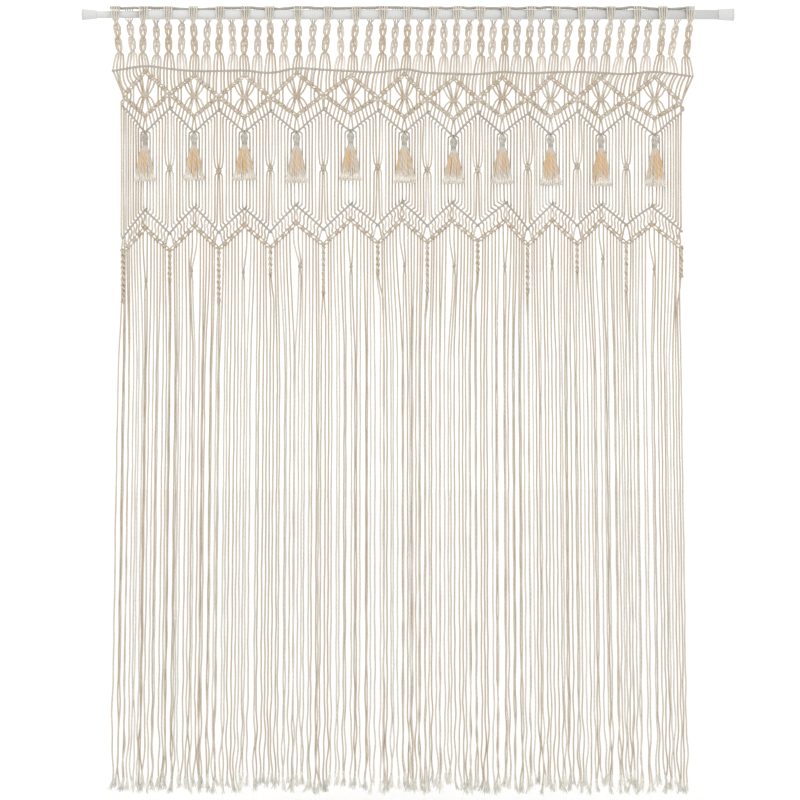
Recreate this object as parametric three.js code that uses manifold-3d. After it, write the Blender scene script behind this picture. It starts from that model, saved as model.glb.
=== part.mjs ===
// Macrame curtain on a tension rod, with its cords hanging as they are knotted.
// Millimetres, +Z up, X along the rod, the front towards -Y, the origin at the middle of the rod's axis.
import * as THREE from 'three';
import { mergeVertices } from 'three/addons/utils/BufferGeometryUtils.js';
import Module from 'manifold-3d';

const wasm = await Module();
wasm.setup();

// Driving dimensions
const CLEARANCE = 0.3;
const ROUND_SIDES = 16;
const ROD_LENGTH = 1488;
const OUTER_TUBE_RADIUS = 11;
const INNER_TUBE_RADIUS = 8;
const TUBE_STEP_X = -606;
const TUBE_OVERLAP = 60;
const CAP_SOCKET = 28;
const LEFT_CAP = { length: 34, mouthRadius: 9.5, waistRadius: 10.2, faceRadius: 12.5, lip: 5 };
const RIGHT_CAP = { length: 36, mouthRadius: 12.4, waistRadius: 12.6, faceRadius: 14.3, lip: 5 };

const HEADING = { left: -680, right: 648, height: 6, halfDepth: 3, wave: 1.2, waves: 22 };
const SENNITS = 45;
const SENNIT_FIRST_X = -662;
const SENNIT_LAST_X = 639;

const BAR = { left: -676, right: 646, halfHeight: 2.8, halfDepth: 3.8 };
const LATTICE = { halfHeight: 6.6, halfDepth: 2.3 };
const CHEVRON = { halfHeight: 3.4, halfDepth: 3.8 };
const CORD_ZIGZAG = { halfHeight: 3.4, halfDepth: 3.8 };
const KNOTTED_ZIGZAG = { halfHeight: 6.4, halfDepth: 3 };

const STRANDS_PER_REPEAT = 5;
const STRAND = { width: 5.6, base: 2, apex: 3.6 };
const LEAN = 5;
const CENTRE_KNOT = { halfWidth: 10, halfHeight: 6, flat: 3.8, ridge: 6.4, pitch: 6.3 };
const SQUARE_KNOT = { halfWidth: 8, halfHeight: 6.5, flat: 3.8, ridge: 6, pitch: 6.8 };

const FRINGE_STRANDS = 180;
const CORD_WIDTH = 3.4;
const HEM = { left: -673, right: 641, z: -1762, unevenness: 15, wander: 1 };
const TWIST = { radius: 6, step: 18, turn: Math.PI / 4, cords: 4, pitch: 2, out: 1.5, rootWidth: 2.4 };

const TASSEL_OUT = 11;
const TASSEL_LOCKS = 6;
const TASSEL_SIDES = 5;
const TASSEL_LOOP = { top: 3, bottom: -6, width: 5 };
const LOCK_ROOT = { x: 3.2, y: 3, z: -23, width: 2.4, base: 0.4, apex: 0.4 };
const LOCK_TIP = { x: 21, y: 5, width: 9, base: 1.5, apex: 1.5 };

// One row for each diamond repeat, left to right: heights of what lies on the repeat's own axis
const REPEATS = table(
  ['x', 'bar', 'top', 'knot', 'bottom', 'point', 'tasselEnd', 'peakX', 'cordPeak', 'knottedPeak'],
  [
    [-600, -118, -130, -184, -231, -270, -381, -600, -447, -487],
    [-488, -129, -140, -186, -232, -270, -379, -487, -440, -482],
    [-373, -128, -139, -189, -234, -269, -379, -373, -443, -481],
    [-254, -123, -133, -186, -230, -270, -385, -256, -435, -476],
    [-131, -129, -140, -186, -227, -267, -379, -131, -433, -468],
    [-8, -125, -136, -188, -233, -270, -385, -14, -429, -467],
    [104, -135, -146, -196, -238, -280, -387, 100, -430, -470],
    [215, -131, -144, -189, -233, -273, -387, 223, -430, -470],
    [325, -132, -144, -194, -234, -275, -391, 329, -433, -470],
    [440, -133, -145, -194, -236, -276, -392, 441, -434, -470],
    [563, -131, -143, -193, -236, -276, -393, 556, -438, -479],
  ],
);

// One row for each place between repeats, with the curtain's two edges first and last
const GAPS = table(
  ['x', 'bar', 'corner', 'peak', 'squareKnot', 'cordValley', 'knottedValley', 'twistEnd'],
  [
    [-650, -129, -186, -210, null, -509, -541, -657],
    [-544, -124, -180, -215, -351, -499, -539, -609],
    [-432, -129, -187, -219, -357, -497, -535, -657],
    [-314, -133, -189, -221, -351, -495, -532, -593],
    [-193, -126, -183, -217, -350, -490, -525, -637],
    [-69, -132, -189, -220, -348, -480, -522, -592],
    [44, -133, -191, -224, -354, -482, -519, -633],
    [159, -136, -191, -225, -354, -481, -517, -586],
    [273, -134, -192, -227, -348, -489, -526, -637],
    [386, -131, -190, -222, -346, -481, -523, -587],
    [498, -136, -194, -226, -348, -480, -523, -631],
    [624, -141, -202, -222, null, -494, -533, -599],
  ],
);

// How far the sennits stray from even spacing along the rod
const SENNIT_DRIFT = table(
  ['sennit', 'shift'],
  [[0, 0], [12, -7], [20, 13], [28, 0], [33, -9], [44, 0]],
);

// Half of a sennit's way over the rod: distance out from the rod's axis, height and section
const SENNIT_STATIONS = table(
  ['out', 'z', 'width', 'depth'],
  [
    [0, 13.4, 8, 2.4],
    [11.7, 7, 16, 5],
    [12.4, -17, 10, 5],
    [11.2, -36, 17, 5],
    [9.8, -56, 10, 5],
    [7.8, -81, 12, 5],
  ],
);
const FAN = { lift: 1.5, inset: 0.5, rootWidth: 4, footWidth: 21, slitWidth: 8, slitTop: 4, depth: 2.6 };

// A tassel head's profile, from the top of the head down to the neck
const TASSEL_HEAD = table(
  ['radius', 'z'],
  [[0, -2], [5.5, -4], [7.6, -10], [4.6, -19], [5.6, -24], [0, -24]],
);

// Small helpers
function table(columns, rows) {
  return rows.map((row) => Object.fromEntries(columns.map((name, i) => [name, row[i]])));
}

function uneven(index, salt) {
  const wave = Math.sin(index * 12.9898 + salt * 78.233) * 43758.5453;
  return 2 * (wave - Math.floor(wave)) - 1;
}

function between(rows, key, value, at) {
  const last = rows.findIndex((row, i) => i > 0 && (row[key] >= at || i === rows.length - 1));
  const [from, to] = [rows[last - 1], rows[last]];
  return THREE.MathUtils.lerp(from[value], to[value], (at - from[key]) / (to[key] - from[key]));
}

function heightAt(line, x) {
  return between(line, 'x', 'z', x);
}

// Joins and cuts
function solidOf(geometry) {
  const bare = new THREE.BufferGeometry();
  bare.setAttribute('position', geometry.getAttribute('position'));
  bare.setIndex(geometry.index);
  const merged = mergeVertices(bare);
  const corners = Array.from(merged.index.array);
  const triangles = [];
  for (let i = 0; i < corners.length; i += 3) {
    const corner = corners.slice(i, i + 3);
    if (new Set(corner).size === 3) triangles.push(...corner);
  }
  return new wasm.Manifold(new wasm.Mesh({
    numProp: 3,
    vertProperties: new Float32Array(merged.getAttribute('position').array),
    triVerts: new Uint32Array(triangles),
  }));
}

function fuse(solids) {
  return solids.reduce((whole, solid) => whole.add(solid));
}

function meshOf(name, solid, material) {
  const { vertProperties, triVerts } = solid.getMesh();
  const geometry = new THREE.BufferGeometry();
  geometry.setAttribute('position', new THREE.BufferAttribute(vertProperties, 3));
  geometry.setIndex(new THREE.BufferAttribute(triVerts, 1));
  geometry.computeVertexNormals();
  const mesh = new THREE.Mesh(geometry, material);
  mesh.name = name;
  return mesh;
}

// A closed solid through rings of equal point counts, turned to face outwards
function loft(rings) {
  const sides = rings[0].length;
  const points = rings.flat();
  const faces = [];
  for (let r = 0; r + 1 < rings.length; r += 1) {
    for (let s = 0; s < sides; s += 1) {
      const [a, b] = [r * sides + s, r * sides + (s + 1) % sides];
      faces.push([a, b, a + sides], [b, b + sides, a + sides]);
    }
  }
  const end = points.length - sides;
  for (let s = 1; s + 1 < sides; s += 1) {
    faces.push([0, s + 1, s], [end, end + s, end + s + 1]);
  }
  const volume = faces.reduce((sum, [a, b, c]) => (
    sum + points[a].dot(new THREE.Vector3().crossVectors(points[b], points[c]))), 0);
  const outward = volume > 0 ? faces : faces.map(([a, b, c]) => [a, c, b]);
  const geometry = new THREE.BufferGeometry().setFromPoints(points);
  geometry.setIndex(outward.flat());
  return solidOf(geometry);
}

// A three-sided strand through level sections; facing 1 turns its ridge to the front, -1 to the back
function strand(stations, facing) {
  return loft(stations.map(({ x, y = 0, z, width, base, apex }) => [
    new THREE.Vector3(x - width / 2, y + facing * base, z),
    new THREE.Vector3(x + width / 2, y + facing * base, z),
    new THREE.Vector3(x, y - facing * apex, z),
  ]));
}

// A flat shape drawn in X and Z, given its depth in Y about the curtain's plane
function uprightGeometry(shape, halfDepth) {
  const geometry = new THREE.ExtrudeGeometry(shape, { depth: 2 * halfDepth, bevelEnabled: false });
  geometry.rotateX(Math.PI / 2);
  geometry.translate(0, halfDepth, 0);
  return geometry;
}

function upright(shape, halfDepth) {
  return solidOf(uprightGeometry(shape, halfDepth));
}

function band(line, halfHeight, halfDepth) {
  const upper = line.map(({ x, z }) => new THREE.Vector2(x, z + halfHeight));
  const lower = line.map(({ x, z }) => new THREE.Vector2(x, z - halfHeight));
  return upright(new THREE.Shape([...lower, ...upper.reverse()]), halfDepth);
}

function turned(profile, sides) {
  const points = profile.map(([radius, along]) => new THREE.Vector2(radius, along));
  return new THREE.LatheGeometry(points, sides);
}

// A gathering knot: flat where strands enter above and below, with a ridge across its front and back
function knotAt(x, z, { halfWidth, halfHeight, flat, ridge }) {
  const section = [[-flat, 1], [flat, 1], [ridge, 0], [flat, -1], [-flat, -1], [-ridge, 0]];
  return loft([-halfWidth, halfWidth].map((along) => (
    section.map(([y, rise]) => new THREE.Vector3(x + along, y, z + rise * halfHeight)))));
}

// The lines that the carrier cords follow, edge to edge
function carrierLine(gapColumn, repeatColumn, repeatX) {
  const points = [];
  GAPS.forEach((gap, i) => {
    points.push({ x: gap.x, z: gap[gapColumn] });
    const repeat = REPEATS[i];
    if (repeat) points.push({ x: repeat[repeatX], z: repeat[repeatColumn] });
  });
  return points;
}

const LEFT_EDGE = GAPS[0].x;
const RIGHT_EDGE = GAPS[GAPS.length - 1].x;
const barLine = carrierLine('bar', 'bar', 'x');
barLine[0].x = BAR.left;
barLine[barLine.length - 1].x = BAR.right;
const upperLattice = carrierLine('corner', 'top', 'x');
const lowerLattice = carrierLine('corner', 'bottom', 'x');
const chevronLine = carrierLine('peak', 'point', 'x');
const cordLine = carrierLine('cordValley', 'cordPeak', 'peakX');
const knottedLine = carrierLine('knottedValley', 'knottedPeak', 'peakX');

function spreadTo(left, right, x) {
  return THREE.MathUtils.mapLinear(x, LEFT_EDGE, RIGHT_EDGE, left, right);
}

// Heading cord and sennits
function headingCord() {
  const line = [];
  const bottom = OUTER_TUBE_RADIUS + CLEARANCE;
  for (let i = 0; i <= HEADING.waves; i += 1) {
    const x = THREE.MathUtils.lerp(HEADING.left, HEADING.right, i / HEADING.waves);
    line.push(new THREE.Vector2(x, bottom + HEADING.height + HEADING.wave * uneven(i, 1)));
  }
  const corners = [new THREE.Vector2(HEADING.left, bottom), new THREE.Vector2(HEADING.right, bottom)];
  return upright(new THREE.Shape([...corners, ...line.reverse()]), HEADING.halfDepth);
}

function sennitX(i) {
  const even = THREE.MathUtils.lerp(SENNIT_FIRST_X, SENNIT_LAST_X, i / (SENNITS - 1));
  return even + between(SENNIT_DRIFT, 'sennit', 'shift', i);
}

function sennit(i) {
  const x = sennitX(i);
  const facing = i % 2 === 0 ? 1 : -1;
  const rings = SENNIT_STATIONS.map(({ out, z, width, depth }, s) => {
    const before = SENNIT_STATIONS[Math.max(s - 1, 0)];
    const after = SENNIT_STATIONS[Math.min(s + 1, SENNIT_STATIONS.length - 1)];
    const outward = new THREE.Vector2(before.z - after.z, after.out - before.out).setLength(depth);
    return [
      new THREE.Vector3(x - width / 2, -facing * out, z),
      new THREE.Vector3(x + width / 2, -facing * out, z),
      new THREE.Vector3(x, -facing * (out + outward.x), z + outward.y),
    ];
  });
  return fuse([loft(rings), fan(x, facing)]);
}

// Below its last knot a sennit's cords fan out to the straight carrier as two legs
function fan(x, facing) {
  const end = SENNIT_STATIONS[SENNIT_STATIONS.length - 1];
  const rootZ = end.z + FAN.lift;
  const footZ = heightAt(barLine, x);
  const corner = (across, z) => new THREE.Vector2(x + across, z);
  const onBar = (across) => corner(across, heightAt(barLine, x + across));
  const outline = new THREE.Shape([
    corner(-FAN.rootWidth / 2, rootZ),
    onBar(-FAN.footWidth / 2),
    onBar(-FAN.slitWidth / 2),
    corner(0, end.z - FAN.slitTop),
    onBar(FAN.slitWidth / 2),
    onBar(FAN.footWidth / 2),
    corner(FAN.rootWidth / 2, rootZ),
  ]);
  const slant = (-facing * (end.out + FAN.inset + FAN.depth / 2)) / (rootZ - footZ);
  const geometry = uprightGeometry(outline, FAN.depth / 2);
  geometry.applyMatrix4(new THREE.Matrix4().makeShear(0, 0, 0, 0, 0, slant));
  geometry.translate(0, -slant * footZ, 0);
  return solidOf(geometry);
}

// The diamond band: one plate of knotted carriers with a diamond opening in each repeat
function lattice() {
  const { halfHeight, halfDepth } = LATTICE;
  const outline = new THREE.Shape([
    ...lowerLattice.map(({ x, z }) => new THREE.Vector2(x, z - halfHeight)),
    ...upperLattice.map(({ x, z }) => new THREE.Vector2(x, z + halfHeight)).reverse(),
  ]);
  REPEATS.forEach(({ x, top, bottom }, i) => {
    const share = (2 * halfHeight) / (top - bottom);
    const sideOf = (gap) => new THREE.Vector2(
      THREE.MathUtils.lerp(gap.x, x, share),
      THREE.MathUtils.lerp(gap.corner, top, share) - halfHeight,
    );
    outline.holes.push(new THREE.Path([
      sideOf(GAPS[i]),
      new THREE.Vector2(x, top - halfHeight),
      sideOf(GAPS[i + 1]),
      new THREE.Vector2(x, bottom + halfHeight),
    ]));
  });
  return upright(outline, halfDepth);
}

// One strand of the panel, from the straight carrier down to the knotted zigzag.
// Inner strands pass the diamond through its knot, outer ones are hidden in the diamond's corner.
function panelStrand(i, k) {
  const repeat = REPEATS[i];
  const step = k - (STRANDS_PER_REPEAT - 1) / 2;
  const side = Math.sign(step);
  const gap = side < 0 ? GAPS[i] : GAPS[i + 1];
  const inner = k > 0 && k < STRANDS_PER_REPEAT - 1;
  const share = (2 * Math.abs(step)) / STRANDS_PER_REPEAT;
  const facing = k % 2 === 0 ? -1 : 1;
  const x = THREE.MathUtils.lerp(repeat.x, gap.x, share);
  const lowX = THREE.MathUtils.lerp(repeat.peakX, gap.x, share);
  const barX = spreadTo(BAR.left, BAR.right, x);
  const leanX = x + side * LEAN * Math.sin(Math.PI * share);
  const hangX = lowX - side * LEAN * Math.sin(Math.PI * share);
  const above = [
    { ...STRAND, x: barX, z: heightAt(barLine, barX) },
    { ...STRAND, x, z: heightAt(upperLattice, x) },
  ];
  const below = [
    { ...STRAND, x, z: heightAt(lowerLattice, x) },
    { ...STRAND, x: leanX, z: heightAt(chevronLine, leanX) },
  ];
  if (!inner && gap.squareKnot !== null) {
    const gathered = gap.x - (side * SQUARE_KNOT.pitch) / 2;
    below.push({ ...STRAND, x: gathered, z: gap.squareKnot });
  }
  below.push(
    { ...STRAND, x: lowX, z: heightAt(cordLine, lowX) },
    { ...STRAND, x: hangX, z: heightAt(knottedLine, hangX) },
  );
  if (!inner) return fuse([strand(above, facing), strand(below, facing)]);
  const gathered = repeat.x + step * CENTRE_KNOT.pitch;
  const knot = { ...STRAND, x: gathered, z: repeat.knot };
  const top = side === 0 ? above.slice(1) : above;
  return strand([...top, knot, ...below], facing);
}

function panel() {
  const pieces = [headingCord()];
  for (let i = 0; i < SENNITS; i += 1) pieces.push(sennit(i));
  pieces.push(
    band(barLine, BAR.halfHeight, BAR.halfDepth),
    lattice(),
    band(chevronLine, CHEVRON.halfHeight, CHEVRON.halfDepth),
    band(cordLine, CORD_ZIGZAG.halfHeight, CORD_ZIGZAG.halfDepth),
  );
  REPEATS.forEach(({ x, knot }, i) => {
    for (let k = 0; k < STRANDS_PER_REPEAT; k += 1) pieces.push(panelStrand(i, k));
    pieces.push(knotAt(x, knot, CENTRE_KNOT));
  });
  GAPS.filter((gap) => gap.squareKnot !== null).forEach((gap) => {
    pieces.push(knotAt(gap.x, gap.squareKnot, SQUARE_KNOT));
  });
  const room = band(knottedLine, KNOTTED_ZIGZAG.halfHeight + 2 * CLEARANCE, 3 * KNOTTED_ZIGZAG.halfDepth);
  return fuse(pieces).subtract(room);
}

// Fringe: the knotted zigzag with its hanging twists and the free lengths of the cords
function twistX(gap) {
  return THREE.MathUtils.clamp(gap.x, LEFT_EDGE + TWIST.radius + 1, RIGHT_EDGE - TWIST.radius - 1);
}

function twist(gap) {
  const length = gap.knottedValley - gap.twistEnd;
  const steps = Math.round(length / TWIST.step);
  const rings = [];
  for (let s = 0; s <= steps; s += 1) {
    const z = gap.knottedValley - (length * s) / steps;
    const ring = [0, 1, 2, 3].map((corner) => {
      const angle = s * TWIST.turn + (corner * Math.PI) / 2;
      return new THREE.Vector3(
        twistX(gap) + TWIST.radius * Math.cos(angle),
        TWIST.radius * Math.sin(angle),
        z,
      );
    });
    rings.push(ring);
  }
  return loft(rings);
}

function fringeRoots() {
  const roots = [];
  for (let i = 0; i < FRINGE_STRANDS; i += 1) {
    const x = THREE.MathUtils.lerp(LEFT_EDGE, RIGHT_EDGE, (i + 0.5) / FRINGE_STRANDS);
    roots.push({ x, y: 0, z: heightAt(knottedLine, x), width: CORD_WIDTH });
  }
  GAPS.forEach((gap) => {
    const x = twistX(gap);
    const nearest = [...roots].sort((a, b) => Math.abs(a.x - x) - Math.abs(b.x - x)).slice(0, TWIST.cords);
    nearest.sort((a, b) => a.x - b.x).forEach((root, j) => {
      root.foot = root.x;
      root.x = x + (j - (TWIST.cords - 1) / 2) * TWIST.pitch;
      root.y = j % 2 === 0 ? -TWIST.out : TWIST.out;
      root.z = gap.twistEnd + TWIST.radius;
      root.width = TWIST.rootWidth;
    });
  });
  return roots;
}

function fringeStrand({ x, y, z, width, foot = x }, i) {
  const hemX = spreadTo(HEM.left, HEM.right, foot) + HEM.wander * uneven(i, 2);
  const hemZ = HEM.z + HEM.unevenness * uneven(i, 3);
  const round = CORD_WIDTH / 2;
  return strand([
    { x, y, z, width, base: width / 2, apex: width / 2 },
    { x: hemX, z: hemZ, width: CORD_WIDTH, base: round, apex: round },
  ], i % 2 === 0 ? 1 : -1);
}

function fringe() {
  return fuse([
    band(knottedLine, KNOTTED_ZIGZAG.halfHeight, KNOTTED_ZIGZAG.halfDepth),
    ...GAPS.map(twist),
    ...fringeRoots().map(fringeStrand),
  ]);
}

// A tassel hangs in front of the cords, its loop laid against the chevron's point
function tassel({ point, tasselEnd }) {
  const seat = TASSEL_OUT - CHEVRON.halfDepth - CLEARANCE - STRAND.base;
  const loop = strand([
    { ...STRAND, x: 0, y: seat, z: TASSEL_LOOP.top, width: TASSEL_LOOP.width },
    { ...STRAND, x: 0, y: 0, z: TASSEL_LOOP.bottom, width: TASSEL_LOOP.width },
  ], 1);
  const head = turned(TASSEL_HEAD.map(({ radius, z }) => [radius, z]).reverse(), TASSEL_SIDES);
  head.rotateX(Math.PI / 2);
  const locks = [];
  for (let j = 0; j < TASSEL_LOCKS; j += 1) {
    const angle = (2 * Math.PI * j) / TASSEL_LOCKS;
    const place = ({ x, y }) => ({ x: x * Math.cos(angle), y: y * Math.sin(angle) });
    locks.push(strand([
      { ...LOCK_ROOT, ...place(LOCK_ROOT) },
      { ...LOCK_TIP, ...place(LOCK_TIP), z: tasselEnd - point },
    ], angle < Math.PI ? -1 : 1));
  }
  return fuse([loop, solidOf(head), ...locks]);
}

// Rod: each piece is turned about X, with its profile given as radius and place along the rod
function rodPiece(name, profile, material) {
  const geometry = turned(profile, ROUND_SIDES);
  geometry.rotateZ(-Math.PI / 2);
  return meshOf(name, solidOf(geometry), material);
}

function capProfile(cap, tubeRadius) {
  const { length, mouthRadius, waistRadius, faceRadius, lip } = cap;
  const bore = tubeRadius + CLEARANCE;
  return [
    [0, 0],
    [faceRadius, 0],
    [faceRadius, lip],
    [waistRadius, length / 2],
    [mouthRadius, length],
    [bore, length],
    [bore, length - CAP_SOCKET],
    [0, length - CAP_SOCKET],
  ];
}

function rod(painted, moulded) {
  const end = ROD_LENGTH / 2;
  const bore = INNER_TUBE_RADIUS + CLEARANCE;
  const leftFloor = -end + LEFT_CAP.length - CAP_SOCKET + CLEARANCE;
  const rightFloor = end - RIGHT_CAP.length + CAP_SOCKET - CLEARANCE;
  const innerEnd = TUBE_STEP_X + TUBE_OVERLAP;
  const inner = [
    [0, leftFloor],
    [INNER_TUBE_RADIUS, leftFloor],
    [INNER_TUBE_RADIUS, innerEnd],
    [0, innerEnd],
  ];
  const outer = [
    [0, innerEnd + CLEARANCE],
    [bore, innerEnd + CLEARANCE],
    [bore, TUBE_STEP_X],
    [OUTER_TUBE_RADIUS, TUBE_STEP_X],
    [OUTER_TUBE_RADIUS, rightFloor],
    [0, rightFloor],
  ];
  const place = (x) => x - end;
  const left = capProfile(LEFT_CAP, INNER_TUBE_RADIUS).map(([radius, x]) => [radius, place(x)]);
  const right = capProfile(RIGHT_CAP, OUTER_TUBE_RADIUS).map(([radius, x]) => [radius, -place(x)]);
  return [
    rodPiece('rod_inner_tube', inner, painted),
    rodPiece('rod_outer_tube', outer, painted),
    rodPiece('rod_cap_left', left, moulded),
    rodPiece('rod_cap_right', right.reverse(), moulded),
  ];
}

// Materials and the assembled part
const cotton = new THREE.MeshStandardMaterial({ color: 0xd9cdbd, roughness: 0.95, metalness: 0 });
const tasselCotton = new THREE.MeshStandardMaterial({ color: 0xd8c8b0, roughness: 0.95, metalness: 0 });
const whitePaint = new THREE.MeshStandardMaterial({ color: 0xe4e4e2, roughness: 0.45, metalness: 0 });
const whitePlastic = new THREE.MeshStandardMaterial({ color: 0xe8e8e6, roughness: 0.5, metalness: 0 });

const part = new THREE.Group();
part.add(...rod(whitePaint, whitePlastic));
part.add(meshOf('macrame_panel', panel(), cotton));
part.add(meshOf('fringe', fringe(), cotton));
REPEATS.forEach((repeat, i) => {
  const mesh = meshOf(`tassel_${String(i + 1).padStart(2, '0')}`, tassel(repeat), tasselCotton);
  mesh.position.set(repeat.x, -TASSEL_OUT, repeat.point);
  part.add(mesh);
});

export default part;
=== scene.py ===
"""Looks of a macrame curtain hanging on a tension rod: cords, knots, tassels, fringe and rod."""

import math
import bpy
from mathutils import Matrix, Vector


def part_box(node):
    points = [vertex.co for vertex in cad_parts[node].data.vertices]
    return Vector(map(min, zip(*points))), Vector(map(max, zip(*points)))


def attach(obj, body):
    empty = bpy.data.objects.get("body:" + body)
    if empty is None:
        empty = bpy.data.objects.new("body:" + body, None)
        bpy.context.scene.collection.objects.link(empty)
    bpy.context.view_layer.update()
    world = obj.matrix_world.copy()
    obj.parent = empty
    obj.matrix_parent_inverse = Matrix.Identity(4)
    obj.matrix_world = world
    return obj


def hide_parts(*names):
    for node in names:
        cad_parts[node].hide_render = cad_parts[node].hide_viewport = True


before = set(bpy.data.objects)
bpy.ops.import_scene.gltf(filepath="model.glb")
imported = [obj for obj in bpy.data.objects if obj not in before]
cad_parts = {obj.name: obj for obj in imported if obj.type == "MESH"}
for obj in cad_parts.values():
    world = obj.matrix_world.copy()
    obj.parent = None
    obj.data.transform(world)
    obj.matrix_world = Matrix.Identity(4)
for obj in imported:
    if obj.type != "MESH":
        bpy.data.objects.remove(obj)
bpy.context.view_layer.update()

from types import SimpleNamespace

import bpy
import numpy as np
from bpy.props import FloatProperty, FloatVectorProperty, IntProperty, PointerProperty
from mathutils import Vector

bl_info = {
    "name": "Macrame curtain on a rod",
    "version": (1, 0, 0),
    "blender": (4, 5, 0),
    "location": "View3D > Sidebar > Curtain",
    "description": "Knots the cords, tassels and fringe of a macrame curtain on its rod",
    "category": "Object",
}

MM = 0.001
TAU = 2 * math.pi
HEADING_SEED, CARRIER_SEED, NET_SEED, FRINGE_SEED, TASSEL_SEED = 11, 23, 37, 53, 70

# Sides of a strand, the most it turns from ring to ring, and how far its plies shift from strand to strand
FIBRE_SIDES, CORD_SIDES, THICK_SIDES = 4, 5, 6
BEND_STEP = 0.24
PLY_SHIFT = 0.0037

# The solid that a piece stands for, and the name of a slot
PANEL = ("macrame_panel", "cotton_cord")
FRINGE = ("fringe", "cotton_cord")


def rows(names, values):
    return [SimpleNamespace(**dict(zip(names.split(), row))) for row in values]


# One row for each diamond repeat, in millimetres: heights of what lies on the repeat's own axis
REPEATS = rows(
    "x bar top knot bottom point tassel_end peak_x cord_peak knotted_peak pair_x pair_z",
    [
        (-600, -118, -130, -184, -231, -270, -381, -600, -447, -487, -598, -609),
        (-488, -129, -140, -186, -232, -270, -379, -487, -440, -482, -494, -585),
        (-373, -128, -139, -189, -234, -269, -379, -373, -443, -481, -376, -588),
        (-254, -123, -133, -186, -230, -270, -385, -256, -435, -476, -247, -575),
        (-131, -129, -140, -186, -227, -267, -379, -131, -433, -468, -130, -575),
        (-8, -125, -136, -188, -233, -270, -385, -14, -429, -467, -8, -573),
        (104, -135, -146, -196, -238, -280, -387, 100, -430, -470, 105, -574),
        (215, -131, -144, -189, -233, -273, -387, 223, -430, -470, 221, -574),
        (325, -132, -144, -194, -234, -275, -391, 329, -433, -470, 329, -567),
        (440, -133, -145, -194, -236, -276, -392, 441, -434, -470, 445, -558),
        (563, -131, -143, -193, -236, -276, -393, 556, -438, -479, 562, -580),
    ],
)

# One row for each place between repeats, with the curtain's two edges first and last
GAPS = rows(
    "x bar corner peak square_knot cord_valley knotted_valley twist_end",
    [
        (-650, -129, -186, -210, None, -509, -541, -657),
        (-544, -124, -180, -215, -351, -499, -539, -609),
        (-432, -129, -187, -219, -357, -497, -535, -657),
        (-314, -133, -189, -221, -351, -495, -532, -593),
        (-193, -126, -183, -217, -350, -490, -525, -637),
        (-69, -132, -189, -220, -348, -480, -522, -592),
        (44, -133, -191, -224, -354, -482, -519, -633),
        (159, -136, -191, -225, -354, -481, -517, -586),
        (273, -134, -192, -227, -348, -489, -526, -637),
        (386, -131, -190, -222, -346, -481, -523, -587),
        (498, -136, -194, -226, -348, -480, -523, -631),
        (624, -141, -202, -222, None, -494, -533, -599),
    ],
)

# Cap from the wall to its mouth: share of its length, and radius as shares of its face and of its collar
CAP_PROFILE = (
    (0.02, 0.55, 0), (0, 0.6, 0), (0, 0.94, 0), (0.012, 0.985, 0), (0.035, 1, 0), (0.065, 0.99, 0),
    (0.07, 0.95, 0), (0.1, 0.95, 0), (0.105, 0.985, 0), (0.2, 0.97, 0), (0.45, 0.6, 0.4),
    (0.75, 0.25, 0.75), (0.96, 0, 1), (0.985, 0, 0.985), (1, 0, 0.955), (1, 0, 0.86),
)
LEFT_COLLAR, RIGHT_COLLAR = 0.76, 0.87
BORE = 0.75

# Sennits: their middles drift sideways by number, and they hang out from the rod by height
SENNITS = 45
SENNIT_CORDS = 4
SENNIT_ENDS = (-662, 639)
SENNIT_DRIFT = ((0, 12, 20, 28, 33, 44), (0, -7, 13, 0, -9, 0))
SENNIT_OUT = ((-130, -80, -56, -36, -17, 4), (1.6, 9.4, 11.0, 12.4, 13.6, 13.2))
SENNIT_STEP = 7.2
LOOP_STEP = 5.6
LOOP_END = -13

# Down a sennit: height, and how far its outer and core cords hang from its middle; None where they cross
SENNIT_SHAPE = (
    (-17, None, 2.9), (-27.5, 6.6, None), (-37, 6.0, 3.7), (-46.5, None, 3.0), (-58.5, 6.6, None),
    (-68.5, 6.0, 3.7), (-79, None, 2.8),
)
SENNIT_HEIGHTS = (-95, -80, -22, -14)
FRONT_THICK = (1.34, 1.45, 1.4, 1.22)
BEHIND_THICK = (1.34, 1.36, 1.36, 0.7)

# Cords in all, in half a diamond and more at each edge, and by number their order below the edges
CORDS = SENNIT_CORDS * SENNITS
CORDS_PER_HALF = 8
EDGE_CORDS = 2
EDGE_ORDER = {0: 8, 8: 7, 9: 9}
BAR_ENDS = (-676, 646)
HEADING_ENDS = (-680, 648)
HEADING_Z = 14.8
NET_EDGES = (-657, 626)

# Where the eight cords of half a diamond, from its axis outwards, hang in it, reach its upper sides and cross
# the knotted zigzag, and how far towards the upper sides they have moved at the straight carrier
SIDE_SHARES = (0.04, 0.16, 0.27, 0.41, 0.53, 0.68, 0.79, 0.95)
TOP_SHARES = (0.05, 0.16, 0.29, 0.38, 0.53, 0.62, 0.78, 0.9)
FOOT_SHARES = (0.0, 0.09, 0.24, 0.37, 0.49, 0.62, 0.73, 0.82)
BAR_SHARE = 0.5
BAR_SHARE_FROM = 10

# Knots along the knotted bands: shares of a side, half width of the open band, and reach of a knot
DIAMOND_BAND = SimpleNamespace(knots=(0.28, 0.53, 0.79), apart=3.3, reach=3.5)
ZIGZAG_BAND = SimpleNamespace(knots=(0.25, 0.5, 0.77), apart=3.5, reach=3.5)
BAND_THICK = 1.1

# Cords in a diamond by number: how far beside the axis and above the knot its star gathers, or they bow
STAR_OFFSETS = {1: 1.6, 2: 4.6, 3: 7.0}
STAR_RISE = {1: 7.5, 2: 6.5, 3: 2.5}
SIDE_BOWS = {5: -1.8, 6: 1.6}

# Wraps of the gathering knots: half width, half depth and turns
STAR_WRAP = (6.6, 4.0, 3.0)
SQUARE_WRAP = (5.0, 3.4, 1.5)

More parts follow.
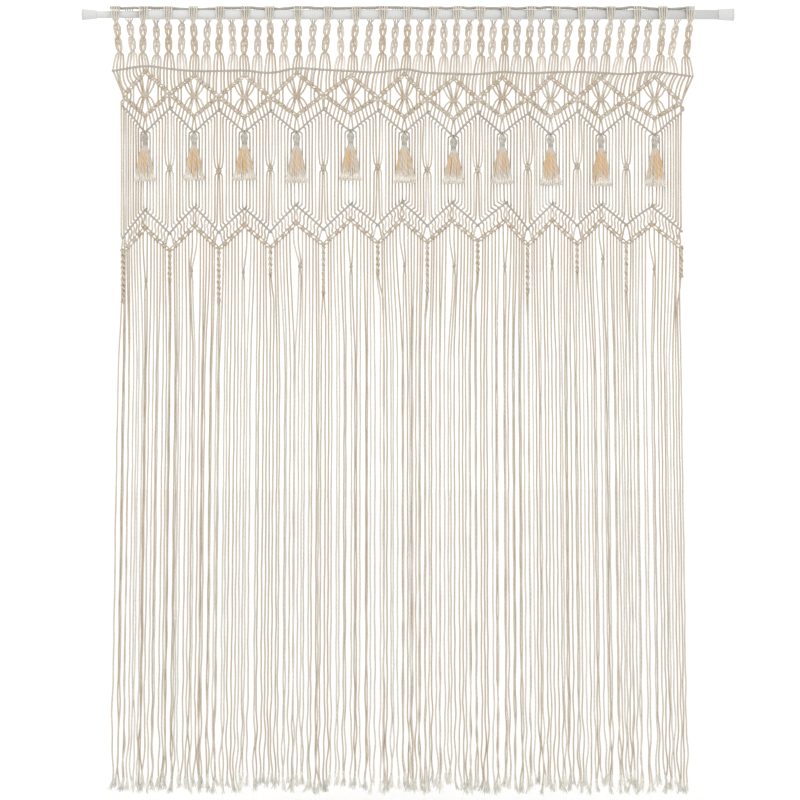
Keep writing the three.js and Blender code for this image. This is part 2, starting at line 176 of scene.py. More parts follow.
# Square knot, from its middle: ways of a core cord, and of a working cord before and after it crosses, as
# (side, out, up), and the crossing itself in shares of the knot's width, reach and height
CORE_CORD, WORKING_CORD = CORDS_PER_HALF - 2, CORDS_PER_HALF - 3
SQUARE_CORE = ((3.9, 0.4, 52), (3, 0.3, 20), (1.6, 0.2, 7), (1.6, 0.2, -7), (2.4, 0.3, -22), (2.9, 0.4, -60))
SQUARE_BEFORE = ((10.6, 0.6, 48), (8.6, 0.5, 14))
SQUARE_AFTER = ((8.2, 0.5, -12), (8.8, 0.6, -38))
SQUARE_CROSSING = (
    (1.05, 0, 1), (0.4, 1, 0.55), (-0.95, 0.6, 0.25), (-1, 0.3, -0.2), (0.4, 1, -0.55), (1.05, 0, -1))
SQUARE_WIDE, SQUARE_TALL, SQUARE_OUT = 4.8, 5.6, 0.2
SQUARE_FRONT, SQUARE_BACK = -4.4, 4.0

CARRIER_OUT = -2.5
DEPTHS = {"bar": -2.1, "chevron": -2.1, "cord": -2.1, "upper": 1.7, "lower": 1.7, "knotted": 1.7}
KNOT_LIFT = 3.4
NET_THICK = ((-440, -400, -300, -220, -180, -155), (1.25, 1.15, 1.15, 1.23, 1.23, 1.36))

# Fringe: places across it, and how far its cords have drifted sideways there, which crowds or parts them
FRINGE_DRIFT = (
    (-673, -620, -560, -470, -420, -300, -200, -20, 64, 130, 190, 270, 390, 475, 540, 600, 641),
    (0, 4, 4, -2, -6, 7, 3, 10, -10, -3, -9, 0, 2, 8, -8, 2, 0),
)
HEM = SimpleNamespace(left=-673, right=641, z=-1762, uneven=13)
FRINGE_TOP = -560.0
FRINGE_SHADE = (-800, -560)

# Tassel: down its head from the chevron's point, height and radius; its place in front of the net; its loop
TASSEL_HEAD = (
    (-2, 1.2), (-4.5, 4.1), (-8.5, 6.6), (-13, 7.2), (-18, 5.9), (-22.5, 3.2), (-26.5, 2.5), (-31, 4.6))
TASSEL_NECK = 31
TASSEL_OUT = -11
TASSEL_LOOP = ((1.4, -10.5, -5), (2.3, -8.8, 1.5), (1.6, -4.6, 4.6), (0.8, -1.0, 4.4))


# Lines that the carrier cords follow
def carrier_line(gap_key, repeat_key, repeat_x="x"):
    xs, zs = np.empty((2, len(GAPS) + len(REPEATS)))
    xs[::2], zs[::2] = zip(*((gap.x, getattr(gap, gap_key)) for gap in GAPS))
    xs[1::2], zs[1::2] = zip(*((getattr(row, repeat_x), getattr(row, repeat_key)) for row in REPEATS))
    return xs, zs


LINES = {
    "bar": carrier_line("bar", "bar"),
    "upper": carrier_line("corner", "top"),
    "lower": carrier_line("corner", "bottom"),
    "chevron": carrier_line("peak", "point"),
    "cord": carrier_line("cord_valley", "cord_peak", "peak_x"),
    "knotted": carrier_line("knotted_valley", "knotted_peak", "peak_x"),
}
LINES["bar"][0][[0, -1]] = BAR_ENDS


def height(line, x):
    return float(np.interp(x, *LINES[line]))


def sennit_x(index):
    even = np.interp(index, (0, SENNITS - 1), SENNIT_ENDS)
    return float(even + np.interp(index, *SENNIT_DRIFT))


def cord_place(cord):
    """Repeat, side and number from the axis outwards of one hanging cord; the edges' cords come last."""
    if cord < EDGE_CORDS:
        return 0, -1, CORDS_PER_HALF + EDGE_CORDS - 1 - cord
    if cord >= CORDS - EDGE_CORDS:
        return len(REPEATS) - 1, 1, CORDS_PER_HALF + cord - CORDS + EDGE_CORDS
    repeat, column = divmod(cord - EDGE_CORDS, 2 * CORDS_PER_HALF)
    if column < CORDS_PER_HALF:
        return repeat, -1, CORDS_PER_HALF - 1 - column
    return repeat, 1, column - CORDS_PER_HALF


def column_x(cord):
    """Where one cord crosses each carrier, and where it hangs between them.

    At each carrier a cord moves one place towards the peak, and the cord at the peak turns into the carrier.
    """
    sennit, strand = divmod(cord, SENNIT_CORDS)
    row, side, number = cord_place(cord)
    repeat, index = REPEATS[row], row + (side > 0)
    gap = GAPS[index]
    inner = number < CORDS_PER_HALF
    at_edge = index in (0, len(GAPS) - 1)
    border = NET_EDGES[index > 0] if at_edge else gap.x
    count = CORDS_PER_HALF + EDGE_CORDS * at_edge
    above = lambda steps: repeat.x + (border - repeat.x) * steps / count
    below = lambda steps: repeat.peak_x + (border - repeat.peak_x) * steps / count
    share = lambda axis, shares: axis + (gap.x - axis) * (shares[number] if inner else 1.0)
    column = SimpleNamespace(repeat=repeat, side=side, number=number, gap=gap)
    column.upper = column.lower = share(repeat.x, SIDE_SHARES)
    column.top = share(repeat.x, TOP_SHARES)
    column.bar = sennit_x(sennit) + (strand - 1.5) * SENNIT_STEP
    inside = min(1.0, min(cord, CORDS - 1 - cord) / BAR_SHARE_FROM)
    column.bar += BAR_SHARE * inside * (column.top - column.bar)
    if not inner:
        column.chevron = column.fall = above(number + 0.5)
        column.cord, column.knotted = below(number + 0.2), below(number + 0.1)
    else:
        column.knotted = share(repeat.peak_x, FOOT_SHARES)
        if number == CORDS_PER_HALF - 1:
            column.fall, column.cord = above(0.6), below(0.3)
        else:
            to_square_knot = number == CORE_CORD and not at_edge
            column.chevron = above(number + 1.15 if number else 0.6)
            column.fall = above(number + (1.42 if to_square_knot else 1.7))
            column.cord = below(number + 0.8)
    order = number - 1 if 0 < number < CORDS_PER_HALF else CORDS_PER_HALF - 1
    if at_edge:
        order = EDGE_ORDER.get(number, order)
    column.line = below(order + 0.5)
    return column


COLUMNS = [column_x(cord) for cord in range(CORDS)]
HEM_ORDER = np.argsort(np.argsort([column.line for column in COLUMNS]))


# Paths
def smooth(points, spacing):
    """A curve through the points, as a hanging cord rounds: samples a spacing apart, closer in bends."""
    points = np.asarray(points, float)
    padded = np.vstack([2 * points[0] - points[1], points, 2 * points[-1] - points[-2]])
    parts = []
    for a, b, c, d in zip(padded, padded[1:], padded[2:], padded[3:]):
        steps = max(1, int(math.ceil(np.linalg.norm(c - b) / 1.5)))
        t = (np.arange(steps) / steps)[:, None]
        squared, cubed = 2 * a - 5 * b + 4 * c - d, 3 * b - a - 3 * c + d
        parts.append(0.5 * (2 * b + (c - a) * t + squared * t ** 2 + cubed * t ** 3))
    curve = np.vstack(parts + [points[-1:]])
    steps = np.diff(curve, axis=0)
    lengths = np.linalg.norm(steps, axis=1)
    ways = steps / lengths[:, None]
    turns = np.arccos(np.clip((ways[1:] * ways[:-1]).sum(axis=1), -1, 1))
    kept, turned, gone = [0], 0.0, 0.0
    for index, (turn, length) in enumerate(zip(turns.tolist(), lengths.tolist()), 1):
        turned, gone = turned + turn, gone + length
        if turned > BEND_STEP or gone > spacing:
            kept.append(index)
            turned, gone = 0.0, 0.0
    return curve[kept + [len(curve) - 1]]


def wrap(centre, along, wide, deep, turns, pitch, start=0.0, per_turn=10):
    """Turns of cord round an oval: wide across the front, deep from front to back."""
    along = np.asarray(along, float) / np.linalg.norm(along)
    front = np.array([0.0, -1.0, 0.0])
    across = np.cross(along, front)
    t = np.linspace(0, turns, int(turns * per_turn) + 1)[:, None]
    angle = TAU * t + start
    return (np.asarray(centre, float) + along * pitch * (t - turns / 2)
            + across * wide * np.cos(angle) + front * deep * np.sin(angle))


def between(start, stop, *places):
    """Points on the way from start to stop: share across, shift sideways, place front to back, share down."""
    across, down = stop[0] - start[0], stop[2] - start[2]
    return [
        (start[0] + share * across + shift, y, start[2] + fall * down) for share, shift, y, fall in places]


def by_height(path, heights, values):
    return np.interp(path[:, 2], heights, values)


def direction(run):
    return run / np.linalg.norm(run)


def rings(path, sides):
    """Unit rings square to a path, each turned as little as can be from the last."""
    tangents = np.gradient(path, axis=0)
    tangents /= np.linalg.norm(tangents, axis=1)[:, None]
    normal = np.array([0.0, 1.0, 0.0]) if abs(tangents[0][1]) < 0.9 else np.array([1.0, 0.0, 0.0])
    normals = np.empty_like(path)
    for index, tangent in enumerate(tangents):
        normal = direction(normal - tangent * normal.dot(tangent))
        normals[index] = normal
    angles = (np.arange(sides) * TAU / sides)[None, :, None]
    return normals[:, None] * np.cos(angles) + np.cross(tangents, normals)[:, None] * np.sin(angles)


# Pieces
def fill(items, key, arrays, kind=np.float32):
    items.foreach_set(key, np.concatenate([np.ravel(array) for array in arrays]).astype(kind))


def place_object(name, data, place=(0, 0, 0), turn=(0, 0, 0)):
    item = bpy.data.objects.new(name, data)
    item.location, item.rotation_euler = place, turn
    bpy.context.scene.collection.objects.link(item)
    return item


def place_piece(name, mesh, node, slot, *materials):
    for material in materials:
        mesh.materials.append(material)
    piece = place_object(name, mesh)
    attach(piece, "root")
    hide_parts(node)


class Strands:
    """Round strands swept along paths and gathered into one mesh, with the way along each in its UVs."""

    def __init__(self):
        self.points, self.tones, self.walls, self.ends = [], [], [], []
        self.count = 0

    def add(self, path, radius, tone=0.5, finish=0, sides=CORD_SIDES):
        """Sweep one strand; its finish is the number of one of the piece's cottons."""
        path = np.asarray(path, float)
        count = len(path)
        radii, tones = (np.broadcast_to(np.asarray(value, float), (count,)) for value in (radius, tone))
        gone = np.cumsum(np.linalg.norm(np.diff(path, axis=0), axis=1))
        lengths = np.concatenate([[0], gone]) * MM + PLY_SHIFT * len(self.points)
        body = (path[:, None] + rings(path, sides) * radii[:, None, None]).reshape(-1, 3)
        self.points.append(np.vstack([body, path[[0, -1]]]))
        self.tones.append(np.concatenate([np.repeat(tones, sides), tones[[0, -1]]]))
        ring, side = np.divmod(np.arange((count - 1) * sides), sides)
        here, there = self.count + ring * sides, self.count + (ring + 1) * sides
        beside = (side + 1) % sides
        corners = np.stack([here + side, here + beside, there + beside, there + side], axis=1)
        u0, u1, v0, v1 = side / sides, (side + 1) / sides, lengths[ring], lengths[ring + 1]
        uvs = np.stack([u0, v0, u1, v0, u1, v1, u0, v1], axis=1)
        self.walls.append((corners, uvs, np.full(len(ring), finish)))
        rim = np.arange(sides)
        ahead = (rim + 1) % sides
        for end, first, second in ((0, ahead, rim), (1, rim, ahead)):
            start = self.count + end * (count - 1) * sides
            tip = np.full(sides, self.count + count * sides + end)
            corners = np.stack([tip, start + first, start + second], axis=1)
            uvs = np.stack([rim / sides, np.full(sides, lengths[-end])] * 3, axis=1)
            self.ends.append((corners, uvs, np.full(sides, finish)))
        self.count += count * sides + 2

    def piece(self, name, node, slot, finish, *cottons):
        corners, uvs, finishes = zip(*self.walls, *self.ends)
        sizes = np.concatenate([np.full(len(part), part.shape[1]) for part in corners])
        mesh = bpy.data.meshes.new(name)
        mesh.vertices.add(self.count)
        mesh.loops.add(int(sizes.sum()))
        mesh.polygons.add(len(sizes))
        fill(mesh.vertices, "co", [np.vstack(self.points) * MM])
        fill(mesh.loops, "vertex_index", corners, np.int32)
        fill(mesh.polygons, "loop_start", [np.cumsum(sizes) - sizes], np.int32)
        fill(mesh.polygons, "use_smooth", [np.ones(len(sizes))], bool)
        fill(mesh.polygons, "material_index", finishes, np.int32)
        mesh.update(calc_edges=True)
        fill(mesh.uv_layers.new(name="along_cord").data, "uv", uvs)
        fill(mesh.attributes.new("tone", "FLOAT", "POINT").data, "value", self.tones)
        if mesh.validate():
            raise RuntimeError(f"{name}: its mesh is not sound")
        place_piece(name, mesh, node, slot, *(cotton(kind, finish) for kind in cottons))


def turned_piece(name, profile, node, slot, material, sides=64):
    """A piece turned about the rod's axis from (place along the rod, radius) in millimetres."""
    profile = np.asarray(profile, float) * MM
    angles = np.arange(sides) * TAU / sides
    points = [(x, r * math.cos(a), r * math.sin(a)) for x, r in profile for a in angles]
    turns = np.arange(len(points)).reshape(-1, sides).tolist()
    faces = []
    for here, there in zip(turns, turns[1:]):
        faces += zip(here, there, there[1:] + there[:1], here[1:] + here[:1])
    mesh = bpy.data.meshes.new(name)
    mesh.from_pydata(points, [], [*faces, turns[0], turns[-1][::-1]])
    for polygon in mesh.polygons:
        polygon.use_smooth = len(polygon.vertices) == 4
    mesh.update()
    place_piece(name, mesh, node, slot, material)


# Finishes
def feed(tree, node, values):
    """Set a node's inputs, by name or number, to plain values or link them to other nodes' outputs."""
    for key, value in values.items():
        if isinstance(value, bpy.types.NodeSocket):
            tree.links.new(value, node.inputs[key])
        else:
            node.inputs[key].default_value = value


def add_node(tree, kind, values, **settings):
    """Add a shader node with its settings, feed its inputs and give its outputs."""
    node = tree.nodes.new(f"ShaderNode{kind}")
    for key, setting in settings.items():
        setattr(node, key, setting)
    feed(tree, node, values)
    return node.outputs


def math_node(tree, operation, *values):
    return add_node(tree, "Math", dict(enumerate(values)), operation=operation)[0]


def spread_range(tree, *values):
    """A value taken from one range to another."""
    return add_node(tree, "MapRange", dict(enumerate(values)))[0]


def mix_colour(tree, factor, first, second):
    return add_node(tree, "Mix", {0: factor, 6: first, 7: second}, data_type="RGBA")[2]


def raised(tree, level, strength, relief):
    return add_node(tree, "Bump", {"Height": level, "Strength": strength, "Distance": relief})[0]


def node_group(name, vector, values, outputs):
    """An empty group: one vector and some values go in, and values come out."""
    group = bpy.data.node_groups.new(name, "ShaderNodeTree")
    group.interface.new_socket(vector, in_out="INPUT", socket_type="NodeSocketVector")
    for label, default in values.items():
        socket = group.interface.new_socket(label, in_out="INPUT", socket_type="NodeSocketFloat")
        socket.default_value = default
    for label in outputs:
        group.interface.new_socket(label, in_out="OUTPUT", socket_type="NodeSocketFloat")
    return group, group.nodes.new("NodeGroupInput").outputs, group.nodes.new("NodeGroupOutput")


def twisted_plies():
    """Plies twisted round a cord: a height for their rounds and a mask of painted shade in the grooves
    between them.
    """
    name = "Twisted plies"
    if name in bpy.data.node_groups:
        return bpy.data.node_groups[name]
    group, given, made = node_group(name, "Along cord", {"Plies": 3.0, "Lay": 0.012}, ("Height", "Groove"))
    around, along, _ = add_node(group, "SeparateXYZ", {0: given["Along cord"]})
    around = math_node(group, "MULTIPLY", around, given["Plies"])
    along = math_node(group, "DIVIDE", along, given["Lay"])
    turn = math_node(group, "MULTIPLY", math_node(group, "ADD", around, along), TAU)
    level = math_node(group, "MULTIPLY_ADD", math_node(group, "SINE", turn), 0.5, 0.5)
    hollow = math_node(group, "SUBTRACT", 1.0, level)
    rounded, narrow = math_node(group, "POWER", level, 0.5), math_node(group, "POWER", hollow, 3.0)
    feed(group, made, {"Height": rounded, "Groove": narrow})
    return group


def mottle():
    """Uneven tone over a surface and its fine roughness, from its place on the part."""
    name = "Mottle"
    if name in bpy.data.node_groups:
        return bpy.data.node_groups[name]
    scales = {"Broad scale": 14.0, "Fine scale": 900.0}
    group, given, made = node_group(name, "Place", scales, ("Broad", "Fine"))
    for output, detail in (("Broad", 3.0), ("Fine", 2.0)):
        values = {"Vector": given["Place"], "Scale": given[f"{output} scale"], "Detail": detail}
        feed(group, made, {output: add_node(group, "TexNoise", values)["Fac"]})
    return group


def place_mottle(tree, broad, fine):
    place = add_node(tree, "TexCoord", {})["Object"]
    values = {"Place": place, "Broad scale": broad, "Fine scale": fine}
    return add_node(tree, "Group", values, node_tree=mottle())


def new_material(name, roughness):
    material = bpy.data.materials.new(name)
    material.use_nodes = True
    tree = material.node_tree
    shader = tree.nodes["Principled BSDF"]
    shader.inputs["Roughness"].default_value = roughness
    return material, tree, shader


def rgba(colour, shares=1.0):
    """A colour with all its parts taken by one share, or each by its own."""
    return (*(np.array(colour) * shares).tolist(), 1.0)


# Cottons: colour and pale colour, plies and their lay, how much painted shade darkens the grooves, relief,
# mottle's scale
COTTONS = rows(
    "name colour pale plies lay groove relief broad",
    [
        ("hanging_cotton", "cord", "cord_pale", 3.0, 0.011, 1.0, 0.0005, 22.0),
        # Painted light: the cotton of the sennits behind the rod is painted paler, with half the groove
        # shade, to lift the shade behind the rod
        ("shaded_cotton", "cord_behind_brightened", None, 3.0, 0.011, 0.5, 0.0005, 22.0),
        ("looped_cotton", "carrier", "cord_pale", 3.0, 0.011, 1.0, 0.0005, 22.0),
        ("carrier_cotton", "carrier", None, 3.0, 0.013, 1.0, 0.0005, 22.0),
        # Combed ends are paler than the twisted cord, and painted paler still to lift the shade among their
        # fine strands
        ("combed_cotton", "frayed", None, 1.0, 0.03, None, 0.00003, 22.0),
        ("combed_tassel_ends", "tassel_ends", None, 1.0, 0.03, None, 0.00003, 22.0),
        ("tassel_strands", "tassel", "tassel_pale", 2.0, 0.016, 1.0, 0.0004, 3.0),
    ],
)
# Painted shade in the grooves between plies: its fixed amount on combed cotton, and the darkened colour as
# shares of the cotton's colour
COMBED_GROOVE_SHADE = 0.1
GROOVE_SHADE_SHARES = (0.64, 0.6, 0.54)
NAP_SCALE = 1400.0


def cotton(name, finish):
    """Soft twisted cotton: plies, painted shade in the grooves, uneven tone from cord to cord and a matt nap.
    """
    if name in bpy.data.materials:
        return bpy.data.materials[name]
    kind = next(row for row in COTTONS if row.name == name)
    colour = getattr(finish, kind.colour)
    dark = rgba(colour, 1.0 if kind.pale else 0.84)
    pale = rgba(getattr(finish, kind.pale)) if kind.pale else rgba(colour, 1.1)
    groove = COMBED_GROOVE_SHADE if kind.groove is None else kind.groove * finish.groove
    material, tree, shader = new_material(name, 0.92)
    along = add_node(tree, "UVMap", {}, uv_map="along_cord")[0]
    values = {"Along cord": along, "Plies": kind.plies, "Lay": kind.lay}
    twist = add_node(tree, "Group", values, node_tree=twisted_plies())
    uneven = place_mottle(tree, kind.broad, NAP_SCALE)
    tone = add_node(tree, "Attribute", {}, attribute_name="tone")["Fac"]
    lightness = math_node(tree, "ADD", tone, uneven["Broad"])
    toned = mix_colour(tree, spread_range(tree, lightness, 0.6, 1.4, 0.0, 1.0), dark, pale)
    # Painted shade: the colour is darkened in the grooves between the plies
    depth = spread_range(tree, twist["Groove"], 0.0, 1.0, 0.0, groove)
    napped = math_node(tree, "MULTIPLY_ADD", uneven["Fine"], 0.35, twist["Height"])
    feed(tree, shader, {
        "Base Color": mix_colour(tree, depth, toned, rgba(colour, GROOVE_SHADE_SHARES)),
        "Roughness": spread_range(tree, uneven["Fine"], 0.3, 0.7, 0.86, 0.98),
        "Specular IOR Level": 0.18, "Sheen Weight": 0.1, "Sheen Roughness": 0.6,
        "Normal": raised(tree, napped, 0.7, kind.relief)})
    return material


def hard_finish(name, colour, roughness, relief, fine):
    """Painted metal or moulded plastic: faint mottling, fine orange peel and uneven gloss."""
    material, tree, shader = new_material(name, roughness)
    uneven = place_mottle(tree, 9.0, fine)
    feed(tree, shader, {
        "Base Color": mix_colour(tree, uneven["Broad"], rgba(colour, 0.95), rgba(colour, 1.03)),
        "Roughness": spread_range(tree, uneven["Broad"], 0.3, 0.7, roughness - 0.08, roughness + 0.1),
        "Normal": raised(tree, uneven["Fine"], 0.4, relief)})
    return material


# Sizes and colours that a user would change
def metres(name, description, default, least=0.0):
    return FloatProperty(name=name, description=description, default=default, min=least, unit="LENGTH")


def tint(name, description, *default):
    return FloatVectorProperty(name=name, description=description, default=default, subtype="COLOR")


class CurtainSizes(bpy.types.PropertyGroup):
    """Sizes of the curtain's cords and ends."""

    cord: metres("Cord", "Diameter of a hanging cord", 0.0034, 0.001)
    carrier: metres("Carrier", "Diameter of the cords that run across", 0.005, 0.001)
    sway: metres("Sway", "How far a fringe cord wanders at the hem", 0.006)
    fray: metres("Fray", "Length of the combed ends of the fringe", 0.029)
    tassel_spread: metres("Tassel spread", "Half of a tassel's width at its foot", 0.0225)
    tassel_strands: IntProperty(
        name="Tassel strands", description="Strands in each tassel's skirt", default=40, min=8)


class CurtainFinish(bpy.types.PropertyGroup):
    """Colours of the curtain and its rod."""

    cord: tint("Cord", "Colour of the tan hanging cords", 0.58, 0.485, 0.37)
    cord_pale: tint("Pale cord", "Colour of the pale hanging cords", 0.73, 0.685, 0.605)
    # Painted light: the sennits behind the rod are painted paler than the other cords, to lift the shade they
    # hang in
    cord_behind_brightened: tint("Cord behind", "Colour of the sennits behind the rod", 0.82, 0.745, 0.645)
    carrier: tint("Carrier", "Colour of the cords that run across", 0.47, 0.44, 0.385)
    # Combed ends are pale cotton, painted paler still to lift the shade among their fine strands
    frayed: tint("Frayed", "Colour of combed ends", 0.82, 0.8, 0.73)
    tassel: tint("Tassel", "Colour of the tassels' golden strands", 0.69, 0.47, 0.26)
    tassel_pale: tint("Tassel pale", "Colour of the tassels' pale strands", 0.64, 0.61, 0.55)
    # The tassels' combed ends are pale cotton, painted paler still to lift the shade among their fine strands
    tassel_ends: tint("Tassel ends", "Colour of the tassels' combed ends", 0.81, 0.76, 0.68)
    rod: tint("Rod", "Colour of the rod's paint", 0.66, 0.66, 0.65)
    cap: tint("Cap", "Colour of the rod's end caps", 0.64, 0.64, 0.63)
    # Painted shade: how dark the grooves between plies are painted
    groove: FloatProperty(
        name="Groove", description="How dark the grooves between plies are", default=0.45, min=0.0, max=1.0,
        subtype="FACTOR")


def chosen(context):
    """The sizes, the finish and the radius of a hanging cord in millimetres."""
    sizes = context.scene.curtain_sizes
    return sizes, context.scene.curtain_finish, sizes.cord / MM / 2


# Rod
def rod_tube(name, node, lip, paint):
    low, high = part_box(node)
    left, right, radius = low.x / MM, high.x / MM, high.y / MM
    profile = [
        (left, BORE * radius), (left, radius - lip), (left + 0.3 * lip, radius - 0.3 * lip),
        (left + lip, radius), (left + 8 * lip, radius), (right, radius), (right, BORE * radius),
    ]
    turned_piece(name, profile, node, "rod_paint", paint)


def rod_cap(name, node, on_left, plastic):
    low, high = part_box(node)
    wall, mouth = (low.x, high.x) if on_left else (high.x, low.x)
    face = high.y / MM
    collar = (LEFT_COLLAR if on_left else RIGHT_COLLAR) * face
    profile = [
        (wall / MM + (mouth / MM - wall / MM) * along, by_face * face + by_collar * collar)
        for along, by_face, by_collar in CAP_PROFILE]
    turned_piece(name, profile if on_left else profile[::-1], node, "rod_cap", plastic)


class CURTAIN_OT_rod(bpy.types.Operator):
    """Turn the rod's two tubes and its flared end caps"""

    bl_idname = "curtain.rod"
    bl_label = "Rod"

    def execute(self, context):
        finish = context.scene.curtain_finish
        paint = hard_finish("satin_rod_paint", finish.rod, 0.42, 0.00008, 1600.0)
        plastic = hard_finish("cap_plastic", finish.cap, 0.5, 0.00015, 900.0)
        rod_tube("rod_thin_tube", "rod_inner_tube", 0.4, paint)
        rod_tube("rod_thick_tube", "rod_outer_tube", 0.8, paint)
        rod_cap("rod_left_cap", "rod_cap_left", True, plastic)
        rod_cap("rod_right_cap", "rod_cap_right", False, plastic)
        return {"FINISHED"}


# Heading and sennits
def sennit_path(index, strand, rng):
    """One of a sennit's four cords, from its loop over the heading cord down to the straight carrier."""
    front = -1 if index % 2 == 0 else 1
    middle = sennit_x(index)
    columns = COLUMNS[SENNIT_CORDS * index:SENNIT_CORDS * (index + 1)]
    pull = np.mean([column.top for column in columns]) - middle
    lean = 2.0 * math.sin(2.3 * index) + 0.3 * pull
    hang = lambda z: middle + lean * (-45 - z) / 45
    out = lambda z: front * float(np.interp(z, *SENNIT_OUT))
    across = strand - 1.5
    outer = strand in (0, 3)
    facing = math.copysign(1, -across if outer else across)
    loop = facing * abs(across)
    spread = hang(0) + loop * LOOP_STEP
    if front > 0:
        path = [(spread, 1.6, 12.4)]
    else:
        path = [(spread, 4.0, 13.0), (spread, 2.6, 17.4), (spread, -2.2, 18.2)]
    path += [
        (spread, front * 8.6, 14.0), (spread - 0.3 * loop, front * 12.6, 6.0),
        (spread - 0.6 * loop, front * 13.2, -5.0),
        (spread - (1.5 if front < 0 else 0.9) * loop, out(-12), -11),
    ]
    shift = 3.0 * math.sin(1.7 * index)
    stretch = np.interp(index, (0, SENNITS - 1), (1.05, 1.14))
    for number, (level, apart, core) in enumerate(SENNIT_SHAPE):
        z = (level + 10) * stretch - 12.5 + shift + rng.uniform(-0.5, 0.5)
        x = hang(z)
        off, reach, deep = (apart, 4.9, 3.9) if outer else (core, 2.2, 2.0)
        if off is not None:
            path.append((x + facing * off * rng.uniform(0.92, 1.08), out(z), z))
            continue
        over = deep if (strand < 2) == (number % 2 == 0) else -deep
        if number:
            path.append((x + facing * reach, out(z), z + 5.0))
        path += [(x, out(z) - over, z), (x - facing * reach, out(z), z - 5.0)]
        facing = -facing
    bar = columns[strand].bar
    foot = height("bar", bar)
    z = path[-1][2]
    below = x + SENNIT_STEP * across
    return path + [
        (0.25 * x + 0.75 * below, out(z - 5), z - 3.5 if outer else z - 12),
        (0.45 * below + 0.55 * bar - 0.4 * across, front * 3.5 - 1.0, 0.45 * z + 0.55 * foot),
        (0.1 * below + 0.9 * bar, front * 0.6 - 1.4, foot + 6),
        (bar, DEPTHS["bar"], foot),
    ]


class CURTAIN_OT_heading(bpy.types.Operator):
    """Lay the heading cord on the rod and knot the sennits that hang from it"""

    bl_idname = "curtain.heading"
    bl_label = "Heading and sennits"

    def execute(self, context):
        _, finish, radius = chosen(context)
        rng = np.random.default_rng(HEADING_SEED)
        heading, sennits = Strands(), Strands()
        xs = np.arange(*HEADING_ENDS, 9.0)
        lift = np.convolve(rng.normal(0, 3.4, len(xs) + 6), np.ones(7) / 7, mode="valid")
        heading.add(smooth(np.stack([xs, 0.3 * lift, HEADING_Z + lift], axis=1), 4), 2.9, 0.2, sides=8)
        heading.piece("heading_cord", *PANEL, finish, "carrier_cotton")
        for index in range(SENNITS):
            tone = rng.uniform(-0.2, 0.5)
            for strand in range(SENNIT_CORDS):
                path = smooth(sennit_path(index, strand, rng), 7)
                strand_tone = tone + rng.uniform(-0.6, 0.5)
                if index % 2:
                    # The sennits behind the rod take the cotton painted paler to lift the shade behind the
                    # rod
                    sennits.add(path, radius * by_height(path, SENNIT_HEIGHTS, BEHIND_THICK), strand_tone, 1)
                    continue
                split = int(np.argmax(path[:, 2] < LOOP_END)) + 1
                loop, braid = path[:split], path[split - 1:]
                grey = by_height(loop, (LOOP_END, 0), (1.1, rng.uniform(0.4, 1.4)))
                sennits.add(loop, 1.22 * radius, grey, 2)
                toned = by_height(braid, (-42, LOOP_END), (strand_tone, 1.0))
                sennits.add(braid, radius * by_height(braid, SENNIT_HEIGHTS, FRONT_THICK), toned)
        sennits.piece("sennits", *PANEL, finish, "hanging_cotton", "shaded_cotton", "looped_cotton")
        return {"FINISHED"}


# Carriers and knotted bands
def single_zigzag(strands, line, radius, rng):
    """Cords between each peak and the low points beside it, their ends crossing above the peak."""
    ends = np.stack(LINES[line], axis=1)
    for number, (start, stop) in enumerate(zip(ends, ends[1:])):
        peak, low = (start, stop) if start[1] > stop[1] else (stop, start)
        run = direction(low - peak)
        over = peak - run * (rng.uniform(5.5, 8.0) if run[0] < 0 else 1.0)
        bend = np.array([-run[1], run[0]]) * math.copysign(rng.uniform(0.4, 1.8), run[0])
        middle = (peak + low) / 2 + bend
        out = CARRIER_OUT - 0.5 * (number % 2)
        path = [(x, y, z) for (x, z), y in (
            (over, out - 1.0), (peak, out), (middle, out), (low, out), (low + run * 2.0, out + 1.0))]
        strands.add(smooth(path, 6), radius, rng.uniform(0.3, 0.7), sides=THICK_SIDES)


def hitch(centre, along, reach, turns, rng):
    tilt = along + np.array([rng.uniform(-0.5, 0.5), 0, rng.uniform(-0.5, 0.5)])
    wide, deep = reach * rng.uniform(0.9, 1.25), rng.uniform(2.9, 3.8)
    return wrap(centre, tilt, wide, deep, turns, rng.uniform(2.8, 3.8), rng.uniform(0, TAU))


def knotted_zigzag(strands, line, band, radius, rng):
    """Two cords that cross at each knot along a side, and the hitches of the hanging cords round them."""
    xs, zs = LINES[line]
    ends = np.stack([xs, np.zeros(len(xs)), zs], axis=1)
    knots = np.array([0.0, *band.knots, 1.0])
    for number, (start, stop) in enumerate(zip(ends, ends[1:])):
        if number % 2 == 0:
            start, stop = stop, start
        run = stop - start
        along = direction(run)
        across = np.array([-along[2], 0.0, along[0]])
        for hand in (-1, 1):
            path = []
            for segment, (low, high) in enumerate(zip(knots, knots[1:])):
                flip = hand if segment % 2 == 0 else -hand
                for share in (0.0, 0.28, 0.5, 0.72):
                    apart = band.apart * math.sin(math.pi * share) * flip
                    out = np.array([0, 0.9 * flip * math.cos(math.pi * share), 0])
                    path.append(start + run * (low + (high - low) * share) + across * apart + out)
            path.append(stop)
            strands.add(smooth(path, 4.5), radius, rng.uniform(0.0, 0.7))
        for share in band.knots:
            for step in (-2.2, 0.0, 2.2):
                turn = hitch(start + run * share + along * step, along, band.reach, 1.4, rng)
                strands.add(turn, radius, rng.uniform(-0.6, 0.8))
        peak = hitch(start, np.array([1.0, 0, 0]), band.reach, 2.2, rng)
        strands.add(peak, radius, rng.uniform(-0.4, 0.6))


